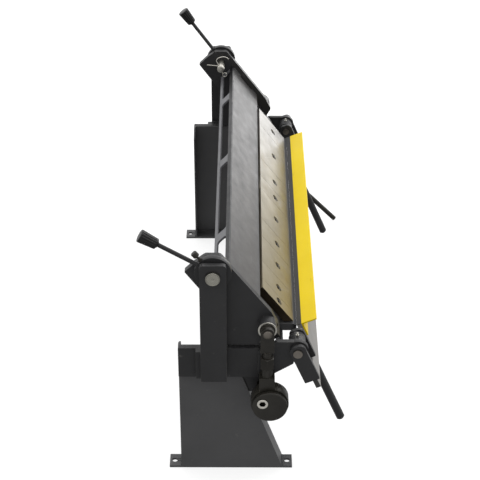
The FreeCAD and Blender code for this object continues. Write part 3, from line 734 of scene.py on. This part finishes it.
def make_pin_clip(side, sign):
    """A spring clip through the pin's inner end: bent leg, ring and straight leg, in one wire."""
    tail = PIN_TAILS[side]
    x = sign * (PIN_INNER - tail["reach"] + CLIP_FROM_TIP)
    centre, radius, first, step = tail["ring"]
    bent = tail["bent"]
    wire = bent + arc(centre, radius, radius, first, step, 11) + tail["straight"]
    points = []
    for k, (f, z) in enumerate(wire):
        aside = 3.8 * share((k - len(bent)) / 10)
        points.append(at(x + sign * aside, PIN_F + f, PIN_Z + z))
    curve = smooth_path(points, 5)
    bm = bmesh.new()
    tube(bm, curve, [1.6] * len(curve))
    new_piece(side + "_pin_clip", bm, "frame", "zinc_steel", sharp=60)


def make_finger_screws():
    """A socket-head cap screw on its washer in the sink of each finger."""
    outward = on_slope(0, 0, 0) - on_slope(0, 0, 1)
    socket = hexagon(10)
    grooves = 36

    def shape(turn, height, radius):
        if radius < 6.5:
            return min(socket(turn), radius)
        return radius if radius < 8 else radius * (1 - 0.02 * wave(turn, grooves))

    head = [(9.6, 0.2), (11.2, 0.2), (11.4, 0.8), (11.4, 6.6), (11.0, 7.5), (10.2, 8.0), (6.9, 8.0),
            (6.2, 7.7), (5.77, 7.2), (5.77, 2.2), (4.2, 1.5), (0, 1.0)]
    ring = [(9.4, 0.05), (12.6, 0.05), (12.6, 0.9), (12.3, 1.3), (9.4, 1.3)]
    x = -sum(FINGERS) / 2
    for number, width in enumerate(FINGERS, 1):
        base = on_slope(x + width / 2, SINK_UP, SINK_DEEP)
        bm = bmesh.new()
        lathe(bm, base, outward, head, 144, shape)
        lathe(bm, base, outward, ring, 40, closed=True)
        new_piece("socket_screw_%d" % number, bm, "clamp_beam", "oiled_black", sharp=30)
        x += width


def make_nut(side, sign):
    """The adjusting nut: a hexagon with both ends chamfered to a circle and a countersunk bore."""
    low, tall, across = 443.6, 40.0, 38.0
    chamfer = math.radians(28)
    corner = across / math.sqrt(3)
    circle = across / 2 * 0.965
    flat = hexagon(across)

    def shape(turn, height, radius):
        if radius < 15:
            return radius
        return min(flat(turn), circle + min(height, tall - height) / math.tan(chamfer))

    ends = [0, 0.4, 0.8, 1.2, 1.6, 2.0, 2.4]
    outer = [(corner, h) for h in ends] + [(corner, tall - h) for h in reversed(ends)]
    profile = [(12.2, 1.4), (13.6, 0)] + outer + [(13.6, tall), (12.2, tall - 1.4)]
    bm = bmesh.new()
    lathe(bm, at(sign * LINK_MID, BOSS_F, low), (0, 0, 1), profile, 144, shape, closed=True)
    piece = new_piece(side + "_hex_nut", bm, side + "_nut", "oiled_black", sharp=24)
    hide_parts(side + "_nut")


def make_thread(side, sign):
    """The screwed part of the link's rod between its nut and its neck."""
    low, high, pitch = 484.0, 502.5, 3.0
    tall = high - low
    rows = int(tall / 0.375)
    core, crest, depth = 11.2, 12.5, 0.95

    def shape(turn, height, radius):
        if radius <= 12:
            return radius
        phase = (height / pitch - sign * turn / (2 * math.pi)) % 1
        runout = min(1.0, (tall - height) / 2.5)
        return radius - depth * runout * share(abs(phase - 0.5) * 2.4 - 0.15)

    profile = [(core, 0)] + [(crest, tall * k / rows) for k in range(rows + 1)] + [(core, tall)]
    bm = bmesh.new()
    lathe(bm, at(sign * LINK_MID, BOSS_F, low), (0, 0, 1), profile, 48, shape)
    new_piece(side + "_rod_thread", bm, side + "_link", "oiled_black", sharp=70)


def make_washers(side, sign):
    """Washers in the gaps of the top pin, the hinge and the upper pin, and the ring on the boss."""
    pin, hinge, boss = (PIN_F, PIN_Z), (AXIS_F, AXIS_Z), (BOSS_F, BOSS_Z)
    for name, body, slot, faces, centre, inner, outer, thick in (
            ("_top_washers", "frame", "zinc_steel", (732.4, 755.4), pin, 13.4, 24.0, 4.2),
            ("_hinge_washers", "apron", "zinc_steel", (752.4, 685.3), hinge, 11.9, 20.0, 4.2),
            ("_link_washer", side + "_link", "oiled_black", (768.4,), boss, 14.4, 22.0, 4.2),
            ("_boss_ring", "clamp_beam", "zinc_steel", (767.8,), boss, 23.4, 28.2, 3.0)):
        bm = bmesh.new()
        for x in faces:
            washer(bm, sign * x, centre, inner, outer, thick, sign)
        new_piece(side + name, bm, body, slot)


def make_link_pin_end(side, sign):
    """The domed outer end of the link's upper pin."""
    dome = arc((0, 0.7), 13.4, 3.4, 0, 10, 9)
    bm = bmesh.new()
    lathe(bm, at(sign * LINK_PIN_END, BOSS_F, BOSS_Z), (sign, 0, 0),
          [(0, 0), (13.4, 0)] + dome + [(0, 4.1)], 48)
    new_piece(side + "_link_pin_end", bm, side + "_link", "zinc_steel", "dull_steel")


def make_nipple(side, sign):
    """A grease nipple on top of the hinge barrel: hexagon, neck and ball."""
    flat = hexagon(9)

    def shape(turn, height, radius):
        return min(flat(turn), radius) if radius > 4.6 else radius

    foot = [(4.9, 0), (5.2, 0.4), (5.2, 4.0), (4.8, 4.4)]
    neck = [(2.9, 4.5), (2.6, 5.2), (2.0, 6.0), (2.0, 7.2)]
    ball = [(3.0, 8.2), (3.25, 9.4), (2.9, 10.6), (1.8, 11.3), (0.7, 11.4), (0.6, 10.9), (0, 10.8)]
    bm = bmesh.new()
    lathe(bm, at(sign * 713, AXIS_F, AXIS_Z + 25.2), (0, 0, 1), foot + neck + ball, 48, shape)
    new_piece(side + "_grease_nipple", bm, "frame", "zinc_steel")


# Weld beads of the right stand: start, end, radius
STAND_WELDS = [
    ((722, -157, 8.5), (668, -157, 8.5), 3.4),
    ((722, 163, 8.5), (668, 163, 8.5), 3.4),
    ((726, -148, 377), (726, 28, 377), 3.6),
    ((741, -103, 387), (741, -103, 482), 4.0),
    ((741, -22, 387), (741, -22, 482), 4.0),
    ((760, -88, 387), (760, -88, 482), 3.6),
    ((760, -86, 484), (760, -24, 484), 3.6),
    ((741, 84, 404), (741, 84, 456), 3.6),
    ((737, 155, 403), (737, 155, 457), 3.6),
]


def make_welds(side, sign):
    """Weld beads where the plates of the stand, the clamping beam and the apron meet."""
    bm = bmesh.new()
    for (x0, f0, z0), (x1, f1, z1), radius in STAND_WELDS:
        bead(bm, at(sign * x0, f0, z0), at(sign * x1, f1, z1), radius)
    new_piece(side + "_stand_welds", bm, "frame", "frame_grey", "frame_dark", 60)

    bm = bmesh.new()
    for low, high, radius in ((268, 311, 4.6), (166, 200, 3.6)):
        x = sign * END_IN
        bead(bm, on_slope(x, low, 6), on_slope(x, high, 6), radius)
    new_piece(side + "_end_welds", bm, "clamp_beam", "frame_grey", sharp=60)

    bm = bmesh.new()
    handle = [(sign * HANDLE_X + aside, 198.6, 63, 147, 4.0) for aside in (-9.5, 9.5)]
    arms = [(sign * x, 202, 90, 111, 3.4) for x in (673, 685, 757)]
    for x, f, top, bottom, radius in handle + arms:
        bead(bm, on_apron(x, f, AXIS_Z - top), on_apron(x, f, AXIS_Z - bottom), radius)
    new_piece(side + "_apron_welds", bm, "apron", "frame_grey", "frame_dark", 60)


def make_bed_strip():
    """The strip on the front edge of the bed that closes the gap to the leaf."""
    reach, back, front, low, high = 620.0, 194.6, 201.95, 459.0, 484.9
    profile = [(back, low), (front - 2, low), (front, low + 3), (front, high - 0.1),
               (front - 0.1, high), (back, high)]
    bm = bmesh.new()
    rows = [[bm.verts.new(at(x, f, z)) for f, z in profile] for x in (-reach, reach)]
    stitch(bm, *rows)
    for row in rows:
        bm.faces.new(row)
    piece = new_piece("bed_edge_strip", bm, "frame", "frame_grey", "strip_dark")
    round_edges(piece, 0.05)


def make_bed_weld():
    """The long bead under the bed, where the front web meets the top plate."""
    bm = bmesh.new()
    bead(bm, at(-734, 155, 460), at(734, 155, 460), 5.0, 6.0)
    new_piece("bed_weld", bm, "frame", "frame_grey", "frame_dark", 60)


make_camera()
make_studio()
make_materials()
dress_cad()
make_hub_screw()
make_finger_screws()
make_bed_strip()
make_bed_weld()
for side, sign, lever_angle in (("left", -1, 31), ("right", 1, 54)):
    make_grip(side, sign, lever_angle)
    make_pin_face(side, sign)
    make_pin_tail(side, sign)
    make_pin_clip(side, sign)
    make_nut(side, sign)
    make_thread(side, sign)
    make_washers(side, sign)
    make_link_pin_end(side, sign)
    make_nipple(side, sign)
    make_welds(side, sign)
